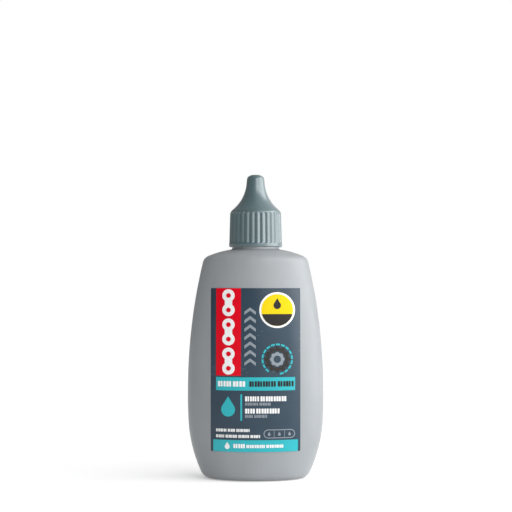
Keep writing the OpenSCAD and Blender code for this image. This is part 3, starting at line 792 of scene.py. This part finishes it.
def varnished(name, gloss):
    """A printed surface that still needs its colour."""
    recipe = Recipe(name, SATIN)
    recipe.shader.inputs["Specular IOR Level"].default_value = gloss
    recipe.feed(recipe.shader.inputs["Roughness"], SATIN + 0.08 * (recipe.noise(6, 3) - 0.5))
    recipe.relief(recipe.noise(1.6, 2), 0.004)
    return recipe


# %% Drops on the film
film = varnished("label_film", FILM_GLOSS)
across, _, up = film.axes()


def drops(pitch_mm, biggest, share):
    """Two masks for drops on the film: the whole drop, and its bright lower side."""
    def dish(shift):
        scale = 1 / (pitch_mm * MM)
        flat = film.node("ShaderNodeMapping", {}, {
            "Vector": film.place, "Location": (0, 0, shift / pitch_mm), "Scale": (scale, 0.0, scale)
        })
        cells = {"Vector": flat, "Scale": 1.0, "Randomness": 0.8}
        near, tint = film.several("ShaderNodeTexVoronoi", ["Distance", "Color"], cells)
        chosen = film.node("ShaderNodeSeparateColor", {}, {0: tint})
        return (biggest * chosen.fade(share, 1.0) - near).fade(0.0, 0.06)
    body = dish(0.0)
    return body, body * (1 - dish(0.22))


fine_body, fine_rim = drops(1.5, 0.34, 0.55)
large_body, large_rim = drops(4.5, 0.3, 0.72)
wet = film.noise(9, 2).fade(0.38, 0.55) * (1 - up.fade(60, 72)) * up.fade(42, 44)
print("drops every 1.5 and 4.5 mm")

# %% The film
SLATE, SLATE_LIGHT, SLATE_DARK = (0.016, 0.041, 0.068), (0.15, 0.195, 0.24), (0.009, 0.024, 0.041)
HATCH_PITCH, HATCH_SLANT = 1.6, 0.8

hatch = ((across * HATCH_SLANT + up) * (2 * pi / HATCH_PITCH)).math("SINE")
hatched = hatch.fade(-0.2, 0.6) * across.fade(-3, 1) * up.fade(66, 71)
beside_band = (1 - across.fade(-5.5, -2.5)) * up.fade(42.2, 43) * (1 - up.fade(47, 52))
rubbed = film.noise(1.1, 4).fade(0.5, 0.62) * beside_band
base = film.mix(film.noise(7, 3).fade(0.35, 0.65), SLATE, tuple(1.12 * c for c in SLATE))
base = film.mix(0.55 * hatched, base, SLATE_DARK)
base = film.mix(0.22 * rubbed, base, SLATE_LIGHT)
base = film.mix(0.4 * wet * (fine_body + large_body), base, SLATE_DARK)
base = film.mix(0.6 * wet * (fine_rim + large_rim), base, SLATE_LIGHT)
film.paint(base)

bm = bmesh.new()
flat_shape(bm, oblong(label_left, -label_left, LABEL_Z, label_top, 0.35))
laid(bm, FILM_LIFT, FILM_T)
finish_piece(bm, "label_film", film, "bottle", ["front_label"])

# %% [markdown]
# ## The inks
# Each ink gathers its shapes in one bmesh per printing, is laid on the film, and becomes one piece that
# stands for the CAD node of that ink. A second or third printing lies on the first, so it is lifted more.

# %% A press for one ink
def printed(name, colour, node, printings, gloss=INK_GLOSS, drawn=None):
    """Prints lists of (points, holes) on the label, one list for each printing; drawn alters the colour."""
    whole = bmesh.new()
    for number, shapes in printings.items():
        for points, holes in shapes:
            bm = bmesh.new()
            flat_shape(bm, points, holes)
            laid(bm, INK_LIFT + (number - 1) * INK_STEP, INK_T)
            mesh = made_mesh(bm, "shape", 1.0)
            whole.from_mesh(mesh)
            bpy.data.meshes.remove(mesh)
    recipe = varnished(name, gloss)
    lighter = tuple(min(1.0, c * 1.07) for c in colour)
    print_colour = recipe.mix(recipe.noise(0.5, 2).fade(0.35, 0.65), colour, lighter)
    recipe.paint(drawn(recipe, print_colour) if drawn else print_colour)
    finish_piece(whole, name, recipe, "bottle", [node], sharp=30)


def disc(centre, radius, count):
    return outline_points(centre, lambda a: radius, count)


# %% [markdown]
# ## Lines of print
# A line of print is a row of plain upright blocks, with a gap between words. One long bar for each word would
# be simpler, but blocks of slightly different widths have the grey and the rhythm of small print, and they
# say nothing.

# %% Lines of print
BLOCK_W, BLOCK_GAP, BLOCK_ROUND, BLOCK_WANDER = 0.5, 0.13, 0.08, (0.04, -0.05, 0.02)


def words(left, top, height, lengths, gap=0.55):
    """A line of print as words of plain upright blocks, one block where a letter would be."""
    blocks = []
    for length in lengths:
        count = max(2, round(length / (BLOCK_W * height)))
        pitch = (length + BLOCK_GAP * height) / count
        for i in range(count):
            wander = BLOCK_WANDER[i % 3] * height * (i < count - 1)
            start, width = left + i * pitch, pitch - BLOCK_GAP * height + wander
            blocks.append((oblong(start, start + width, top - height, top, BLOCK_ROUND * height, 2), ()))
        left += length + gap
    return blocks


# %% [markdown]
# ## Red and white
# Red is the band. White gives the three chain links on it, the badge's disc, the small drop and most lines of
# print. A link's two round ends and its waist could be three shapes, but their overlaps would show as edges,
# so its outline is one function of the angle. Each rivet is a red disc printed over the link.

# %% Red and white
red = [(oblong(field_left, band_right, picture_z, label_top), ())]
rivets = [(disc((band_middle, z + side * LINK_REACH), RIVET_R, 32), ()) for z in link_heights for side in (-1, 1)]
printed("ink_red", (0.76, 0.0, 0.014), "print_red", {1: red, 3: rivets})


def link_plate(centre, end_r, reach, waist, turn=0.0):
    """Two round ends joined by a waist, upright or lying down."""
    def radius_at(angle):
        c, s = abs(cos(radians(angle + turn))), abs(sin(radians(angle + turn)))
        under = end_r**2 - (reach * c) ** 2
        lobe = reach * s + sqrt(under) if under > 0 else 0.0
        return max(lobe, min(waist / max(c, 0.01), reach / max(s, 0.01)))
    return outline_points(centre, radius_at, 96)


plates = [(link_plate((band_middle, z), LINK_END_R, LINK_REACH, LINK_WAIST), ()) for z in link_heights]
text_lines = words(text_left, text_top, TEXT_H, [5.6, 10.35])
text_lines += words(text_left, text_top - text_pitch, TEXT_H, [3.9, 9.35])
notes = words(field_left, note_top, NOTE_H, [4.2, 2.9, 5.3]) + words(
    field_left, note_top - note_pitch, NOTE_H, [3.3, 4.6, 4.3, 3.85])
foot_text = words(field_left + 7, foot_middle + 0.85, 1.7, [4.6]) + words(
    field_left + 12.2, foot_middle + 0.55, 1.3, [7.4, 6.8], 0.6)
small_drop = [(drop((field_left + 4.5, foot_middle - 0.3), 1.0), ())]
name_text = words(field_left + 0.8, name_bar_z + 3.75, 2.2, [5.3, 4.9], 0.7)
printed("ink_white", (0.95, 0.96, 0.96), "print_white", {
    1: [(disc(badge, BADGE_R, 96), ())] + text_lines + notes, 2: plates + small_drop + foot_text + name_text
})

# %% [markdown]
# ## Teal and grey
# Teal gives the two bars, the large drop with its rule, and the chain round the sprocket as dashes. Grey
# gives the chevrons, the sprocket's inner wheel, the second lines of print, and the pill-shaped frame with
# three drops and the lines between them. The frame is one outline with a smaller one as its hole.

# %% Teal and grey
bars = [
    (oblong(field_left, field_right, name_bar_z, name_bar_z + NAME_BAR_H), ()),
    (oblong(label_left + 1, -label_left - 1, LABEL_Z, foot_bar_z), ()),
    (oblong(text_left - 1.9, text_left - 1.2, text_foot, text_top + 0.8), ()),
    (drop(((field_left + text_left) / 2 - 1, (text_top + text_foot) / 2 - 0.5), 2.8), ()),
]


def dash(centre, r0, r1, start, end):
    """A short piece of a ring, in six steps."""
    turns = [start + (end - start) * i / 6 for i in range(7)]
    return [on_arc(centre, r1, turn) for turn in turns] + [on_arc(centre, r0, turn) for turn in reversed(turns)]


chain = [(dash(sprocket, SPROCKET_R + 0.3, SPROCKET_R + 1, a, a + 15), ()) for a in range(-80, 221, 20)]
printed("ink_teal", (0.016, 0.46, 0.52), "print_teal", {1: bars + chain}, FILM_GLOSS)


def chevron(x, z):
    foot = [(x - CHEVRON_W / 2, z), (x, z + CHEVRON_RISE), (x + CHEVRON_W / 2, z)]
    return foot + [(px, pz + CHEVRON_T) for px, pz in reversed(foot)]


chevrons = [(chevron(chevron_x, picture_z + 4 + i * chevron_pitch), ()) for i in range(CHEVRONS)]
grey_lines = words(text_left, text_top - TEXT_H - 0.5, NOTE_H, [5.2, 4.45]) + words(
    text_left, text_top - TEXT_H - 0.5 - text_pitch, NOTE_H, [3.1, 5.15])
wheel = [(
    outline_points(sprocket, lambda a: SPROCKET_R * (0.52 + 0.04 * cos(radians(8 * a))), 96),
    [disc(sprocket, 0.28 * SPROCKET_R, 36)]
)]
frame_r = PILL_H / 2
frame_line, frame_hole = [link_plate(pill, r, (PILL_W - PILL_H) / 2, r, 90) for r in (frame_r, frame_r - FRAME_T)]
pill_marks = [(oblong(pill[0] + x - 0.1, pill[0] + x + 0.1, pill[1] - 1.3, pill[1] + 1.3), ()) for x in (-2.1, 2.1)]
pill_marks += [(drop((pill[0] + x, pill[1] - 0.25), 0.55), ()) for x in (-4.1, 0, 4.1)]
printed("ink_grey", (0.28, 0.32, 0.36), "print_grey", {
    1: chevrons + grey_lines + wheel + [(frame_line, [frame_hole])] + pill_marks
})

# %% [markdown]
# ## Yellow and charcoal
# Yellow is the badge's face. Charcoal prints a level and a drop over it, and also gives the sprocket's ring
# of teeth and the dark words of the name bar. A tooth is a clipped cosine of the angle. The fine strokes on
# the ring are too small for shapes, so the charcoal's own finish draws them with sums on the angle and the
# reach from the sprocket's middle.

# %% Yellow and charcoal
STEEL, LEVEL_DOWN = (0.12, 0.118, 0.115), 1.6
STROKES, STROKE_SLANT, RING_RATE = 34, 5, 9

face_r = BADGE_R - BADGE_RIM
printed("ink_yellow", (0.89, 0.64, 0.0), "print_yellow", {2: [(disc(badge, face_r, 96), ())]})

level_r = face_r - 0.05
level_angle = degrees(asin(-LEVEL_DOWN / level_r))
low_arc = [on_arc(badge, level_r, level_angle + (-180 - 2 * level_angle) * i / 40) for i in range(41)]


def tooth_radius(angle):
    """The ring's radius at an angle: rounded teeth with flat tops and gaps."""
    wave = cos(radians(TEETH * angle))
    return SPROCKET_R * (0.93 + 0.07 * max(-1.0, min(1.0, 2.2 * wave)))


def sprocket_teeth(recipe, colour):
    """Fine slanted strokes round the sprocket's middle, in rings."""
    across, _, up = recipe.axes()
    right, above = across - sprocket[0], up - sprocket[1]
    reach = (right * right + above * above).math("SQRT")
    turned = right.math("ARCTAN2", above, right)
    strokes = (STROKES * turned + STROKE_SLANT * reach).math("SINE").fade(0.1, 0.9)
    rings = (RING_RATE * reach).math("SINE").fade(-0.6, 0.2)
    inside = 1 - reach.fade(SPROCKET_R, SPROCKET_R + 0.2)
    return recipe.mix(0.75 * strokes * rings * inside, colour, STEEL)


ring = (outline_points(sprocket, tooth_radius, 192), [disc(sprocket, 0.62 * SPROCKET_R, 72)])
printed("ink_charcoal", (0.022, 0.02, 0.018), "print_charcoal", {
    1: [ring], 2: words(field_left + 13.4, name_bar_z + 3.75, 2.2, [10.6, 6.4], 0.8),
    3: [(low_arc, ()), (drop((badge[0], badge[1] + 1.9), 1.5), ())]
}, drawn=sprocket_teeth)

# %% [markdown]
# ## The floor
# The bottle stands on a white floor. The floor is seen as white because a share of its brightness is an
# emission that only the camera and reflections see. The rest is real light on a real surface, so it keeps
# the soft shadow at the left of the base without lighting the object more. Far from the bottle the lamps
# fade, so the emission grows there.

# %% The floor
RAYS = ["Is Camera Ray", "Is Glossy Ray", "Is Transmission Ray"]
FLOOR_SINK, NEAR, FAR, FAR_LIFT = 0.00008, 150, 700, 0.75

bm = bmesh.new()
bmesh.ops.create_grid(bm, x_segments=8, y_segments=8, size=3.0)
bmesh.ops.translate(bm, verts=bm.verts, vec=(0, 0, -FLOOR_SINK))
floor = placed("floor", made_mesh(bm, "floor", 1.0))

ground = Recipe("floor_white", 0.9, emission_strength=0.35)
ground.paint((0.9, 0.9, 0.9))
camera_ray, glossy_ray, through_ray = ground.several("ShaderNodeLightPath", RAYS)
seen = camera_ray.either(glossy_ray).either(through_ray)
along, into, _ = ground.axes()
far_off = (along * along + into * into).math("SQRT")
ground.feed(ground.shader.inputs["Emission Color"], seen * (1 + FAR_LIFT * far_off.fade(NEAR, FAR)))
floor.data.materials.append(ground.material)
print("the floor's emission grows from", NEAR, "to", FAR, "mm")

# %% [markdown]
# ## The room
# The room's own light is weak and comes mostly from above. What the gloss of the plastics mirrors is a room
# that is darker on the left and brighter on the right, because that leaves the cap's left side dark. White
# walls could be modelled for this. Three ramps on the direction in which a ray leaves do the same with a few
# numbers, and the camera still sees plain white.

# %% The room
FRONT_LEVEL, BACK_LEVEL, CEILING = 0.15, 0.1, 0.68
MIRROR_LEFT, MIRROR_RIGHT = 0.22, 1.05


def between(first, second, share):
    """A level that goes from the first to the second with the share."""
    return first + (second - first) * share


world = bpy.data.worlds.new("white_room")
world.use_nodes = True
bpy.context.scene.world = world
room = Wiring(world.node_tree)
direction = room.node("ShaderNodeTexCoord", out="Generated")
rightward, backward, upward = room.several("ShaderNodeSeparateXYZ", "XYZ", {0: direction})
camera_ray, glossy_ray, through_ray = room.several("ShaderNodeLightPath", RAYS)
walls = between(FRONT_LEVEL, BACK_LEVEL, backward.ramp(-0.75, 0.45))
lit = between(walls, CEILING, upward.ramp(0.3, 0.9))
mirrored = between(MIRROR_LEFT, MIRROR_RIGHT, rightward.ramp(-0.25, 0.75))
background = world.node_tree.nodes["Background"]
room.feed(background.inputs["Color"], (1, 1, 1))
room.feed(background.inputs["Strength"], between(lit, mirrored, glossy_ray).either(camera_ray).either(through_ray))
print("room: ceiling", CEILING, "and mirrored", MIRROR_LEFT, "to", MIRROR_RIGHT)

# %% [markdown]
# ## The lamps
# Two soft rectangular lamps light the bottle: a large one at its right side, and a smaller one at the right
# of the camera that gives the label its sheen. Sun or spot lamps would give hard edges that the picture
# doesn't have.

# %% Lamps
AIM = Vector((0, 0, 0.06))


def soft_light(name, azimuth, height, distance, size, power):
    """A rectangular soft light; azimuth 0 is the camera's side and 90 the object's right."""
    lamp = bpy.data.lights.new(name, "AREA")
    lamp.shape, lamp.size, lamp.size_y, lamp.energy = "RECTANGLE", *size, power
    light = placed(name, lamp)
    angle = radians(azimuth)
    spot = Vector((distance * sin(angle), -distance * cos(angle), height))
    light.location = spot
    light.rotation_euler = (AIM - spot).to_track_quat("-Z", "Y").to_euler()
    print(name, "power", power, "W")


soft_light("key", 80, 0.3, 0.75, (0.95, 0.92), 8.4)
soft_light("front_key", 24, 0.42, 0.75, (0.47, 0.45), 2.1)

# %% [markdown]
# ## The camera
# The base of the bottle shows a slight curve and the label's lower edges sag, so the camera stands near and a
# little above the middle of the body: 598 mm from the middle plane, 82 mm up and level. A level camera keeps
# upright edges parallel, and a small shift puts the bottle where the picture has it.

# %% Camera and view
lens = bpy.data.cameras.new("camera")
lens.sensor_width, lens.lens = 36.0, 102.06
lens.shift_x, lens.shift_y = 0.0008, 0.0453
camera = placed("camera", lens)
camera.location = (0, -0.598, 0.0816)
camera.rotation_euler = (pi / 2, 0, 0)
bpy.context.scene.camera = camera
bpy.context.scene.view_settings.view_transform = "Standard"
print("camera at", tuple(camera.location))
